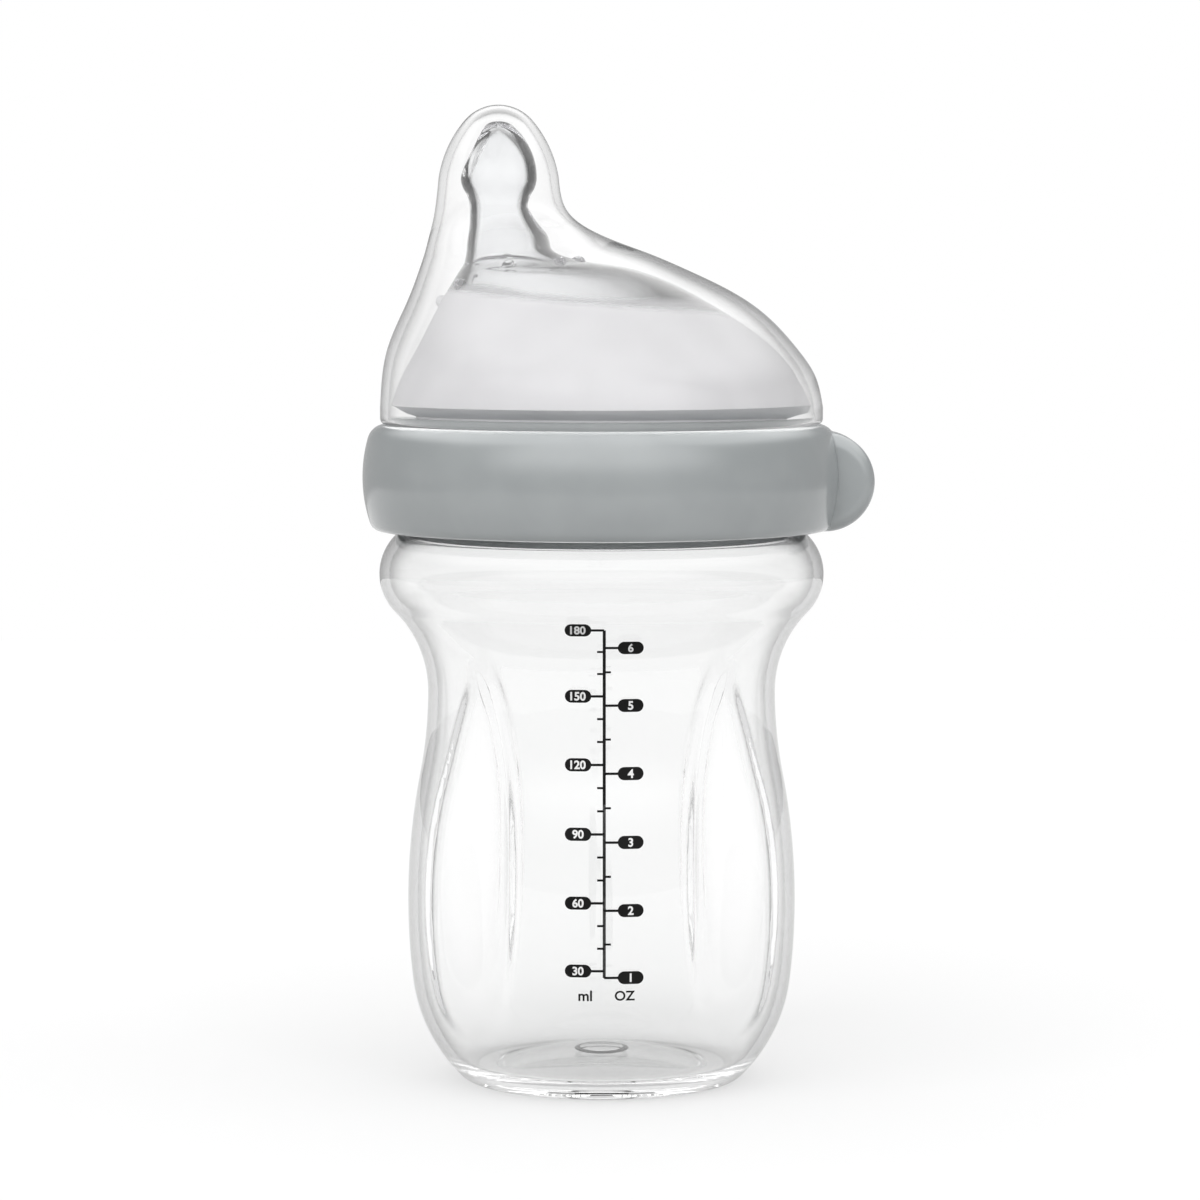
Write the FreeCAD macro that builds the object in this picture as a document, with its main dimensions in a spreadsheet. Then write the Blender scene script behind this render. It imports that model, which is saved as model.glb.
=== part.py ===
import FreeCAD
import Part
import Sketcher
import math
import os
from types import SimpleNamespace

# A wide-neck feeding bottle: clear body with four finger grips, silicone teat piece clamped by a
# screw collar with a thumb lobe, and a clear hood that stands on the collar over the teat.
# Millimetres, +Z up, origin at the centre of the foot on the surface that the bottle stands on.
# The teat stands off-centre towards -X, and the collar's lobe points to +X.

SIZES = {
    # clear body, from the foot up
    "foot_in": 17.5,        # inner radius of the flat ring it stands on
    "foot_round": 4.0,      # rounding between the foot and the heel
    "push_up": 3.0,         # height of the hollow under the base
    "mark_r": 3.9,          # round moulding mark under the base
    "mark_depth": 0.5,
    "heel_z": 17.0,         # where the heel runs into the belly
    "heel_arc": 27.0,
    "belly_r": 32.3,        # widest radius of the belly
    "belly_z": 30.2,
    "belly_arc": 110.0,
    "waist_in": 3.4,        # how much narrower the waist is, under the shoulder bead
    "waist_z": 65.2,
    "bead_out": 3.4,        # shoulder bead below the collar, standing out from the neck
    "bead_z": 84.7,
    "bead_arc": 9.0,
    "neck_r": 33.5,         # neck inside the collar, at the root of the thread
    "rim_z": 104.2,         # top of the neck, where the teat piece seals
    "wall": 1.6,            # side wall of the body
    "base_wall": 2.6,
    "floor_round": 6.0,     # rounding between the floor and the heel inside
    "neck_wall": 2.0,
    # finger grips, dished into the body
    "grip_count": 4,
    "grip_turn": 45.0,      # angle of the first grip from +X, degrees
    "grip_out": 32.3,       # radius to the middle of the dish
    "grip_z": 29.5,
    "grip_lean": 4.75,      # lean towards the axis at the top, degrees
    "grip_deep": 3.45,      # half sizes of the dish: towards the axis, across, along
    "grip_across": 9.75,
    "grip_along": 39.2,
    # screw collar
    "collar_wall": 4.45,    # barrel at its widest, outside the bore
    "collar_high": 17.5,
    "barrel_arc": 24.0,
    "collar_top_round": 3.0,
    "collar_low_round": 1.6,
    "thread_room": 1.7,     # space between the neck and the bore for the thread
    "lip_r": 31.0,          # opening that the teat piece comes up through
    "lip_thick": 2.8,
    "spigot_high": 1.4,     # raised ring that the hood is pushed over
    "lobe_in": 2.75,        # thumb lobe: a rounded disc set into the barrel, its axis this far in
    "lobe_up": 8.1,         # its middle above the collar's lower edge
    "lobe_r": 8.2,
    "lobe_wide": 14.0,
    "lobe_round": 2.2,
    # teat piece
    "flange_thick": 2.5,    # clamped between the rim and the collar's lip
    "flange_play": 0.4,
    "lip_play": 0.3,        # between the teat piece and the collar's opening
    "throat_wall": 2.4,     # wall where the piece passes the collar
    "edge_up": 1.6,         # sharp lower edge of the dome above its underside
    "edge_in": 0.3,         # that edge inside the hood's bore line
    "dome_wall": 1.5,       # sideways wall of the dome
    "dome_drop": 1.6,       # downward wall of the dome
    "teat_shift": -17.0,    # teat axis
    "brim_up": 4.6,         # sections of the dome, above its lower edge
    "brim_shift": -0.3,
    "brim_r": 32.8,
    "skirt_up": 8.7,
    "skirt_shift": -0.9,
    "skirt_r": 30.0,
    "slope_up": 15.8,
    "slope_shift": -3.9,
    "slope_r": 23.1,
    "areola_up": 22.1,
    "areola_shift": -9.5,
    "areola_r": 13.5,
    "root_up": 24.8,
    "root_shift": -14.5,
    "root_r": 7.7,
    "stem_up": 28.2,
    "stem_shift": -16.0,
    "stem_r": 5.8,
    "neckin_up": 32.3,      # narrowest part of the teat
    "neckin_r": 4.8,
    "bulb_up": 37.5,        # widest part of the teat
    "bulb_r": 6.3,
    "bulb_arc": 4.6,
    "tip_up": 46.6,
    "tip_round": 3.6,
    "teat_wall": 1.6,
    "tip_wall": 2.0,
    "feed_r": 0.4,          # feed hole in the tip
    "flat_top": 1.3,        # slanted flat on the outer side of the tip
    "bump_count": 8,        # small bumps round the foot of the teat
    "bump_ring_x": -15.0,
    "bump_ring_r": 11.4,
    "bump_r": 1.0,
    # hood
    "hood_r": 36.7,
    "hood_wall": 1.3,
    "hood_drop": 0.8,       # extra thickness on its sloping roof
    "hood_play": 0.3,       # between its bore and the collar's raised ring
    "hood_round": 0.9,      # lower outer corner
    "hood_belt": 2.8,       # straight part above the collar
    "brim_gap": 1.8,        # room between the teat piece and the hood, and lean of the hood
    "brim_lean": -0.15,
    "skirt_gap": 2.9,
    "skirt_lean": -0.5,
    "slope_gap": 4.9,
    "slope_lean": 0.5,
    "areola_gap": 7.5,
    "areola_lean": 1.6,
    "root_gap": 9.7,
    "root_lean": 3.9,
    "stem_gap": 6.8,
    "stem_lean": 1.5,
    "neckin_gap": 4.7,
    "neckin_lean": 0.3,
    "bulb_gap": 2.55,
    "tip_gap": 1.5,
    "hood_tip_round": 7.4,
    "hood_fall": 3.0,       # how far the end's widest circle lies below the bulb
}

PAST = 2.0  # how far a cutting shape runs past the face it opens

doc = FreeCAD.newDocument("FeedingBottle")
sheet = doc.addObject("Spreadsheet::Sheet", "Sizes")
for row, (alias, number) in enumerate(SIZES.items(), start=1):
    sheet.set(f"A{row}", alias.replace("_", " "))
    sheet.set(f"B{row}", str(number))
    sheet.setAlias(f"B{row}", alias)
doc.recompute()


class Size:
    """A number together with the sheet formula that gives it."""

    def __init__(self, value, formula):
        self.value = value
        self.formula = formula

    def joined(self, other, sign, value):
        return Size(value, f"({self.formula} {sign} {sized(other).formula})")

    def __add__(self, other):
        return self.joined(other, "+", self.value + sized(other).value)

    def __sub__(self, other):
        return self.joined(other, "-", self.value - sized(other).value)

    def __mul__(self, other):
        return self.joined(other, "*", self.value * sized(other).value)

    def __truediv__(self, other):
        return self.joined(other, "/", self.value / sized(other).value)

    def __rsub__(self, other):
        return sized(other) - self

    def __rmul__(self, other):
        return sized(other) * self


def sized(number):
    return number if isinstance(number, Size) else Size(number, repr(number))


def root(size):
    return Size(math.sqrt(size.value), f"sqrt({size.formula})")


def cosine(degrees):
    return Size(math.cos(math.radians(degrees.value)), f"cos({degrees.formula} * 1 deg)")


def sine(degrees):
    return Size(math.sin(math.radians(degrees.value)), f"sin({degrees.formula} * 1 deg)")


s = SimpleNamespace(**{alias: Size(number, f"Sizes.{alias}") for alias, number in SIZES.items()})


def bind(thing, path, size):
    thing.setExpression(path, sized(size).formula)


def origin_part(body, role):
    return next(item for item in body.Origin.OriginFeatures if item.Role == role)


def sketch_on(body, name, role, shift=None, lift=None):
    """A sketch on one of the body's own planes, moved along its x axis and off the plane."""
    sketch = body.newObject("Sketcher::SketchObject", name)
    sketch.AttachmentSupport = (origin_part(body, role), [""])
    sketch.MapMode = "FlatFace"
    if shift is not None:
        bind(sketch, "AttachmentOffset.Base.x", shift)
    if lift is not None:
        bind(sketch, "AttachmentOffset.Base.z", lift)
    return sketch


def arc_between(start, end, radius, turn):
    """The short arc from start to end that bends left (turn 1) or right (turn -1)."""
    chord = end - start
    half = chord.Length / 2
    side = FreeCAD.Vector(-chord.y, chord.x, 0).normalize() * turn
    centre = (start + end) / 2 + side * math.sqrt(max(radius * radius - half * half, 0))
    first, last = (start, end) if turn > 0 else (end, start)
    angles = [math.atan2(p.y - centre.y, p.x - centre.x) for p in (first, last)]
    circle = Part.Circle(centre, FreeCAD.Vector(0, 0, 1), radius)
    return Part.ArcOfCircle(circle, *angles)


def hold(sketch, kind, geometry, point, size):
    """Tie one coordinate of a sketch point to a size, or to the axis where it is nought."""
    axis = {"DistanceX": -2, "DistanceY": -1}[kind]
    if size.value == 0 and size.formula == "0":
        sketch.addConstraint(Sketcher.Constraint("PointOnObject", geometry, point, axis))
        return
    rule = Sketcher.Constraint(kind, -1, 1, geometry, point, size.value)
    bind(sketch, f"Constraints[{sketch.addConstraint(rule)}]", size)


def outline(sketch, corners):
    """A closed outline. A corner is (x, y), or (x, y, radius, turn) where an arc leaves it."""
    corners = [[sized(item) for item in corner] for corner in corners]
    points = [FreeCAD.Vector(corner[0].value, corner[1].value, 0) for corner in corners]
    runs = []
    for index, corner in enumerate(corners):
        start, end = points[index], points[(index + 1) % len(points)]
        if len(corner) == 2:
            runs.append((sketch.addGeometry(Part.LineSegment(start, end), False), 1, 2))
            continue
        radius, turn = corner[2], corner[3].value
        arc = sketch.addGeometry(arc_between(start, end, radius.value, turn), False)
        runs.append((arc, 1, 2) if turn > 0 else (arc, 2, 1))
    for index, (geometry, first, last) in enumerate(runs):
        following, its_first, _ = runs[(index + 1) % len(runs)]
        joint = Sketcher.Constraint("Coincident", geometry, last, following, its_first)
        sketch.addConstraint(joint)
    for corner, (geometry, first, last) in zip(corners, runs):
        hold(sketch, "DistanceX", geometry, first, corner[0])
        hold(sketch, "DistanceY", geometry, first, corner[1])
        if len(corner) == 4:
            rule = Sketcher.Constraint("Radius", geometry, corner[2].value)
            bind(sketch, f"Constraints[{sketch.addConstraint(rule)}]", corner[2])
    return sketch


def circle_at(body, name, up, shift, radius):
    """A level circle with its centre on the x axis, for a loft."""
    sketch = sketch_on(body, name, "XY_Plane", lift=up)
    circle = Part.Circle(FreeCAD.Vector(sized(shift).value, 0, 0), FreeCAD.Vector(0, 0, 1), radius.value)
    geometry = sketch.addGeometry(circle, False)
    sketch.addConstraint(Sketcher.Constraint("PointOnObject", geometry, 3, -1))
    hold(sketch, "DistanceX", geometry, 3, sized(shift))
    rule = Sketcher.Constraint("Radius", geometry, radius.value)
    bind(sketch, f"Constraints[{sketch.addConstraint(rule)}]", radius)
    return sketch


def turned(body, name, sketch, kind="Revolution"):
    feature = body.newObject(f"PartDesign::{kind}", name)
    feature.Profile = sketch
    feature.ReferenceAxis = (sketch, ["V_Axis"])
    feature.Angle = 360
    doc.recompute()
    return feature


def lofted(body, name, sections, kind="AdditiveLoft"):
    feature = body.newObject(f"PartDesign::{kind}", name)
    feature.Profile = sections[0]
    feature.Sections = sections[1:]
    doc.recompute()
    return feature


def round_onto(centre_x, centre_y, arc, level, small, side):
    """Rounding of radius small between an arc and the level line that cuts it short.

    side is -1 where the line lies below the arc's centre and 1 where it lies above. Gives the
    point on the line and the point on the arc."""
    small_y = level - side * small
    small_x = centre_x + root((arc - small) * (arc - small) - (small_y - centre_y) * (small_y - centre_y))
    reach = arc / (arc - small)
    on_arc = (centre_x + (small_x - centre_x) * reach, centre_y + (small_y - centre_y) * reach)
    return (small_x, level), on_arc


def swing(step, rise):
    """Two arcs that pass from one upright line to another: radii together, sine, cosine."""
    both = (step * step + rise * rise) / (2 * step)
    return both, rise / both, 1 - step / both


def two_arc_cap(wide_r, wide_z, top_z, small):
    """A rounded point on a circle: the flank's arc, and where the tip's small arc begins."""
    high = top_z - wide_z - small
    flank = (wide_r * wide_r + high * high - small * small) / (2 * (wide_r - small))
    reach = flank / (flank - small)
    return flank, (wide_r - flank + (flank - wide_r) * reach, wide_z + high * reach)


# Heights and radii that pieces share
lip_low = s.rim_z + s.flange_thick
collar_top = lip_low + s.lip_thick
collar_low = collar_top - s.collar_high
collar_mid = (collar_top + collar_low) / 2
spigot_top = collar_top + s.spigot_high
dome_low = spigot_top + s.lip_play
edge_z = dome_low + s.edge_up
neckin_z = edge_z + s.neckin_up
bulb_z = edge_z + s.bulb_up
tip_z = edge_z + s.tip_up
waist_r = s.belly_r - s.waist_in
bore_r = s.neck_r + s.thread_room
collar_r = bore_r + s.collar_wall
bead_r = s.neck_r + s.bead_out
spigot_r = s.hood_r - s.hood_wall - s.hood_play


# Clear body

def body_outline(wall, base, foot_round, neck, top, mark):
    """Half section of the clear body, drawn in from its outside by a wall and a base."""
    belly_x = s.belly_r - s.belly_arc
    lean = (s.belly_z - s.heel_z) / s.belly_arc
    upright = root(1 - lean * lean)
    heel_x = belly_x + (s.belly_arc - s.heel_arc) * upright
    heel_y = s.heel_z + s.heel_arc * lean
    heel = s.heel_arc - wall
    on_foot, on_heel = round_onto(heel_x, heel_y, heel, base, foot_round, -1)
    belly = s.belly_arc - wall
    low_arcs, low_sine, low_cosine = swing(s.belly_r - waist_r, s.waist_z - s.belly_z)
    bead_x = bead_r - s.bead_arc
    bead = s.bead_arc - wall
    high_arcs, high_sine, high_cosine = swing(bead_r - waist_r, s.bead_z - s.waist_z)
    bead_end = s.bead_z + root(bead * bead - (neck - bead_x) * (neck - bead_x))
    dome = (s.foot_in * s.foot_in + s.push_up * s.push_up) / (2 * s.push_up)
    crown = base + s.push_up
    under = [(0, crown, dome, -1)]
    if mark:
        mark_top = crown + s.mark_depth
        mark_low = crown - dome + root(dome * dome - s.mark_r * s.mark_r)
        under = [(0, mark_top), (s.mark_r, mark_top), (s.mark_r, mark_low, dome, -1)]
    return under + [
        (s.foot_in, base),
        (*on_foot, foot_round, 1),
        (*on_heel, heel, 1),
        (heel_x + heel * upright, heel_y - heel * lean, belly, 1),
        (belly_x + belly * low_cosine, s.belly_z + belly * low_sine, low_arcs - s.belly_arc + wall, -1),
        (waist_r - wall, s.waist_z, high_arcs - s.bead_arc + wall, -1),
        (bead_x + bead * high_cosine, s.bead_z - bead * high_sine, bead, 1),
        (neck, bead_end),
        (neck, top),
        (0, top),
    ]


def dish_grips(body, grow):
    """Dish the finger grips into a turned body, with the dish grown by the wall inside."""
    dish = body.newObject("PartDesign::SubtractiveEllipsoid", "Grip")
    dish.AttachmentSupport = (origin_part(body, "XY_Plane"), [""])
    dish.MapMode = "FlatFace"
    spin = FreeCAD.Rotation(s.grip_turn.value, -s.grip_lean.value, 0)
    dish.AttachmentOffset = FreeCAD.Placement(FreeCAD.Vector(), spin)
    bind(dish, "AttachmentOffset.Base.x", s.grip_out * cosine(s.grip_turn))
    bind(dish, "AttachmentOffset.Base.y", s.grip_out * sine(s.grip_turn))
    bind(dish, "AttachmentOffset.Base.z", s.grip_z)
    bind(dish, "Radius1", s.grip_along + grow)
    bind(dish, "Radius2", s.grip_deep + grow)
    bind(dish, "Radius3", s.grip_across + grow)
    doc.recompute()
    ring = body.newObject("PartDesign::PolarPattern", "Grips")
    ring.Originals = [dish]
    ring.Axis = (origin_part(body, "Z_Axis"), [""])
    ring.Angle = 360
    bind(ring, "Occurrences", s.grip_count)
    body.Tip = ring
    doc.recompute()


def make_bottle_body():
    neck_in = s.neck_r - s.neck_wall
    blank = doc.addObject("PartDesign::Body", "BodyBlank")
    outside = body_outline(sized(0), sized(0), s.foot_round, s.neck_r, s.rim_z, True)
    turned(blank, "Blank", outline(sketch_on(blank, "Outside", "XZ_Plane"), outside))
    dish_grips(blank, 0)
    hollow = doc.addObject("PartDesign::Body", "BodyHollow")
    inside = body_outline(s.wall, s.base_wall, s.floor_round, neck_in, s.rim_z + PAST, False)
    turned(hollow, "Hollow", outline(sketch_on(hollow, "Inside", "XZ_Plane"), inside))
    dish_grips(hollow, s.wall)
    bottle = doc.addObject("Part::Cut", "BottleBody")
    bottle.Base = blank
    bottle.Tool = hollow
    return bottle


# Screw collar

def make_collar():
    collar = doc.addObject("PartDesign::Body", "Collar")
    barrel_x = collar_r - s.barrel_arc
    low_line, low_arc = round_onto(barrel_x, collar_mid, s.barrel_arc, collar_low, s.collar_low_round, -1)
    top_line, top_arc = round_onto(barrel_x, collar_mid, s.barrel_arc, collar_top, s.collar_top_round, 1)
    turned(collar, "Barrel", outline(sketch_on(collar, "BarrelOutline", "XZ_Plane"), [
        (0, collar_low),
        (*low_line, s.collar_low_round, 1),
        (*low_arc, s.barrel_arc, 1),
        (*top_arc, s.collar_top_round, 1),
        top_line,
        (spigot_r, collar_top),
        (spigot_r, spigot_top),
        (0, spigot_top),
    ]))
    side = s.lobe_wide / 2
    lobe_x, lobe_z = collar_r - s.lobe_in, collar_low + s.lobe_up
    lobe = sketch_on(collar, "LobeOutline", "XY_Plane", shift=lobe_x, lift=lobe_z)
    turned(collar, "Lobe", outline(lobe, [
        (0, 0 - side),
        (s.lobe_r - s.lobe_round, 0 - side, s.lobe_round, 1),
        (s.lobe_r, s.lobe_round - side),
        (s.lobe_r, side - s.lobe_round, s.lobe_round, 1),
        (s.lobe_r - s.lobe_round, side),
        (0, side),
    ]))
    turned(collar, "Bore", outline(sketch_on(collar, "BoreOutline", "XZ_Plane"), [
        (0, collar_low - PAST),
        (bore_r, collar_low - PAST),
        (bore_r, lip_low),
        (s.lip_r, lip_low),
        (s.lip_r, spigot_top + PAST),
        (0, spigot_top + PAST),
    ]), "Groove")
    return collar


# Teat piece

DOME_LEVELS = ("brim", "skirt", "slope", "areola", "root", "stem")
HOLLOW_LEVELS = DOME_LEVELS[1:]


def dome_level(level):
    """Height, centre and radius of the teat piece at one of its named levels."""
    return tuple(getattr(s, f"{level}_{word}") for word in ("up", "shift", "r"))


def dome_sections(body, name, levels, first, wall, drop, last):
    """Circles of the dome from its lower edge to the narrowest part of the teat."""
    sections = [circle_at(body, f"{name}Edge", *first)]
    for level in levels:
        up, shift, radius = dome_level(level)
        sections.append(circle_at(body, f"{name}{level.title()}", edge_z + up - drop, shift, radius - wall))
    return sections + [circle_at(body, f"{name}Neckin", *last)]


def teat_outline(wall, tip_wall, feed):
    """Half section of the teat about its own axis, from its narrowest part to the tip."""
    arcs, sine_there, cosine_there = swing(s.bulb_r - s.neckin_r, s.bulb_up - s.neckin_up)
    bulb = s.bulb_arc - wall
    meet = (s.bulb_r - s.bulb_arc + bulb * cosine_there, bulb_z - bulb * sine_there)
    small = s.tip_round - wall
    top = tip_z - tip_wall
    flank, tip_start = two_arc_cap(s.bulb_r - wall, bulb_z, top, small)
    corners = [
        (0, neckin_z),
        (s.neckin_r - wall, neckin_z, arcs - s.bulb_arc + wall, -1),
        (*meet, bulb, 1),
        (s.bulb_r - wall, bulb_z, flank, 1),
        (*tip_start, small, 1),
    ]
    if feed is None:
        return corners + [(0, top)]
    return corners + [
        (feed, top - small + root(small * small - feed * feed)),
        (feed, tip_z + PAST),
        (0, tip_z + PAST),
    ]


def make_bumps(dome):
    """Small bumps set on the dome in a ring round the foot of the teat."""
    bumps = []
    for index in range(SIZES["bump_count"]):
        angle = 2 * math.pi * index / SIZES["bump_count"]
        x = s.bump_ring_x.value + s.bump_ring_r.value * math.cos(angle)
        y = s.bump_ring_r.value * math.sin(angle)
        low, high = FreeCAD.Vector(x, y, edge_z.value), FreeCAD.Vector(x, y, tip_z.value)
        inside = Part.makeLine(low, high).common(dome)
        bump = doc.addObject("Part::Sphere", f"Bump{index + 1}")
        bind(bump, "Radius", s.bump_r)
        bump.Placement.Base = FreeCAD.Vector(x, y, inside.BoundBox.ZMax)
        bumps.append(bump)
    return bumps


def make_nipple():
    teat = doc.addObject("PartDesign::Body", "TeatPiece")
    flange_r = bore_r - s.flange_play
    groove_r = s.lip_r - s.lip_play
    edge_r = spigot_r - s.edge_in
    hollow_r = groove_r - s.throat_wall
    turned(teat, "Flange", outline(sketch_on(teat, "FlangeOutline", "XZ_Plane"), [
        (0, s.rim_z),
        (flange_r, s.rim_z),
        (flange_r, lip_low),
        (groove_r, lip_low),
        (groove_r, dome_low),
        (edge_r, edge_z),
        (0, edge_z),
    ]))
    first = (edge_z, 0, edge_r)
    last = (neckin_z, s.teat_shift, s.neckin_r)
    dome = lofted(teat, "Dome", dome_sections(teat, "Dome", DOME_LEVELS, first, 0, 0, last))
    bumps = make_bumps(dome.Shape)
    teat_sketch = sketch_on(teat, "TeatOutline", "XZ_Plane", shift=s.teat_shift)
    turned(teat, "Teat", outline(teat_sketch, teat_outline(sized(0), sized(0), None)))
    flat_sketch = sketch_on(teat, "FlatOutline", "XZ_Plane", shift=s.teat_shift)
    flat = teat.newObject("PartDesign::Pocket", "Flat")
    flat.Profile = outline(flat_sketch, [
        (0 - s.bulb_r, bulb_z),
        (0 - s.flat_top, tip_z + PAST / 2),
        (0 - s.bulb_r, tip_z + PAST / 2),
    ])
    flat.Type = "ThroughAll"
    flat.Midplane = True
    doc.recompute()
    turned(teat, "Throat", outline(sketch_on(teat, "ThroatOutline", "XZ_Plane"), [
        (0, s.rim_z - PAST),
        (hollow_r, s.rim_z - PAST),
        (hollow_r, edge_z),
        (0, edge_z),
    ]), "Groove")
    first = (edge_z, 0, hollow_r)
    last = (neckin_z, s.teat_shift, s.neckin_r - s.teat_wall)
    inner = dome_sections(teat, "Hollow", HOLLOW_LEVELS, first, s.dome_wall, s.dome_drop, last)
    lofted(teat, "Hollow", inner, "SubtractiveLoft")
    inside_sketch = sketch_on(teat, "TeatInside", "XZ_Plane", shift=s.teat_shift)
    inside = teat_outline(s.teat_wall, s.tip_wall, s.feed_r)
    turned(teat, "TeatHollow", outline(inside_sketch, inside), "Groove")
    nipple = doc.addObject("Part::MultiFuse", "Nipple")
    nipple.Shapes = [teat] + bumps
    return nipple


# Hood

def hood_sections(body, name, wall, drop):
    """Circles of the hood, which stands off the teat piece by a gap at each of its levels."""
    belt = collar_top + s.hood_belt - drop
    sections = [circle_at(body, f"{name}Belt", belt, 0, s.hood_r - wall)]
    out = s.hood_wall - wall
    for level in DOME_LEVELS:
        up, shift, radius = dome_level(level)
        gap = getattr(s, f"{level}_gap")
        lean = getattr(s, f"{level}_lean")
        circle = (edge_z + up - drop, shift + lean, radius + gap + out)
        sections.append(circle_at(body, f"{name}{level.title()}", *circle))
    neckin = (neckin_z, s.teat_shift + s.neckin_lean, s.neckin_r + s.neckin_gap + out)
    sections.append(circle_at(body, f"{name}Neckin", *neckin))
    _, tip_base, *_ = hood_tip(wall)
    sections.append(circle_at(body, f"{name}Bulb", bulb_z, s.teat_shift, tip_base[0]))
    return sections


def hood_tip(wall):
    """Half section of the hood's rounded end about the teat's axis, from the bulb's height up."""
    wide = s.bulb_r + s.bulb_gap + s.hood_wall - wall
    top = tip_z + s.tip_gap + s.hood_wall - wall
    small = s.hood_tip_round - wall
    flank, tip_start = two_arc_cap(wide, bulb_z - s.hood_fall, top, small)
    at_bulb = wide - flank + root(flank * flank - s.hood_fall * s.hood_fall)
    return [(0, bulb_z), (at_bulb, bulb_z, flank, 1), (*tip_start, small, 1), (0, top)]


def make_hood():
    hood = doc.addObject("PartDesign::Body", "Hood")
    belt = collar_top + s.hood_belt
    turned(hood, "Rim", outline(sketch_on(hood, "RimOutline", "XZ_Plane"), [
        (0, collar_top),
        (s.hood_r - s.hood_round, collar_top, s.hood_round, 1),
        (s.hood_r, collar_top + s.hood_round),
        (s.hood_r, belt),
        (0, belt),
    ]))
    lofted(hood, "Roof", hood_sections(hood, "Roof", sized(0), sized(0)))
    tip_sketch = sketch_on(hood, "TipOutline", "XZ_Plane", shift=s.teat_shift)
    turned(hood, "Tip", outline(tip_sketch, hood_tip(sized(0))))
    hood_bore = s.hood_r - s.hood_wall
    turned(hood, "Mouth", outline(sketch_on(hood, "MouthOutline", "XZ_Plane"), [
        (0, collar_top - PAST),
        (hood_bore, collar_top - PAST),
        (hood_bore, belt - s.hood_drop),
        (0, belt - s.hood_drop),
    ]), "Groove")
    lofted(hood, "Inside", hood_sections(hood, "Inside", s.hood_wall, s.hood_drop), "SubtractiveLoft")
    inside_sketch = sketch_on(hood, "TipInside", "XZ_Plane", shift=s.teat_shift)
    turned(hood, "TipHollow", outline(inside_sketch, hood_tip(s.hood_wall)), "Groove")
    return hood


pieces = {
    "bottle_body": make_bottle_body(),
    "collar_ring": make_collar(),
    "nipple": make_nipple(),
    "hood": make_hood(),
}
for label, piece in pieces.items():
    piece.Label = label
doc.recompute()

for item in doc.Objects:
    if "Invalid" in item.State or "Error" in item.State:
        raise RuntimeError(f"{item.Name} failed: {item.State}")
for label, piece in pieces.items():
    shape = piece.Shape
    if shape.isNull() or not shape.isValid() or len(shape.Solids) != 1:
        raise RuntimeError(f"{label} is not one valid solid")

os.makedirs("parts", exist_ok=True)
for label, piece in pieces.items():
    piece.Shape.exportStep(f"parts/{label}.step")
    box = piece.Shape.optimalBoundingBox(False)
    size = f"{box.XLength:.1f} x {box.YLength:.1f} x {box.ZLength:.1f} mm"
    print(f"{label}: {piece.Shape.Volume:.0f} mm3, {size}")
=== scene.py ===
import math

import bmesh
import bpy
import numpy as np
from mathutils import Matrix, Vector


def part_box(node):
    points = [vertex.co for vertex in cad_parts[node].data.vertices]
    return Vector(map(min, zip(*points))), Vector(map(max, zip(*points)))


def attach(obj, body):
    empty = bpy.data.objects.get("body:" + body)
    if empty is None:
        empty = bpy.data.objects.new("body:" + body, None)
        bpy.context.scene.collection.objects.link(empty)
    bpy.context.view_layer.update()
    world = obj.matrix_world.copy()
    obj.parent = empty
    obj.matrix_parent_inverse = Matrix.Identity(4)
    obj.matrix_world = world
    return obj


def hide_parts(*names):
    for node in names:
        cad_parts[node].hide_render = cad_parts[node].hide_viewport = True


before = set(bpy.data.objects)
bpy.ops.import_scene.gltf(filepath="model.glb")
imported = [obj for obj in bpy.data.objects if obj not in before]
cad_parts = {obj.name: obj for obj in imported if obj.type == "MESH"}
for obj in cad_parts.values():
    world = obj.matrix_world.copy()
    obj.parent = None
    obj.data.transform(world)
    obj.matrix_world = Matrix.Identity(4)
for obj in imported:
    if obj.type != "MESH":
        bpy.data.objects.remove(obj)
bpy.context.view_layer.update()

# %% [markdown]
# # Dressing a feeding bottle
# The packed model gives four rigid pieces in metres, with the foot's centre at the origin, +Z up,
# the thumb lobe towards +X, the teat towards -X and the printed scale towards -Y. This lesson
# gives each of them a finer skin with the same outline, then a finish, a printed scale and a thread.
# Clear plastic shows every facet, so the skins are built ring by ring from the same arcs as the part.

MM = 0.001
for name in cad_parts:
    low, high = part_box(name)
    print(name, [round((b - a) / MM, 1) for a, b in zip(low, high)], "mm")

# %% [markdown]
# ## Arcs and paths
# The bottle's mouldings are turned shapes, so each starts as half a section: a list of corners, where
# a corner with a radius and a turn starts an arc to the next one. A Bezier curve could trace such a
# section, but it only comes close to an arc, and these skins have to follow the packed solids. So
# `path` cuts the true arcs into short steps.

# %% Paths from corners
def arc_points(start, end, radius, turn, step):
    """Points inside the short arc that leaves start and bends left (turn 1) or right (turn -1)."""
    chord = np.subtract(end, start)
    half = np.linalg.norm(chord) / 2
    side = np.array([-chord[1], chord[0]]) / (2 * half) * turn
    centre = np.add(start, end) / 2 + side * math.sqrt(max(radius**2 - half**2, 0))
    first = math.atan2(*np.subtract(start, centre)[::-1])
    last = math.atan2(*np.subtract(end, centre)[::-1])
    sweep = turn * ((turn * (last - first)) % (2 * math.pi))
    count = max(2, math.ceil(abs(sweep) * radius / step))
    angles = first + sweep * np.arange(1, count) / count
    return [tuple(centre + radius * np.array([math.cos(a), math.sin(a)])) for a in angles]


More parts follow.
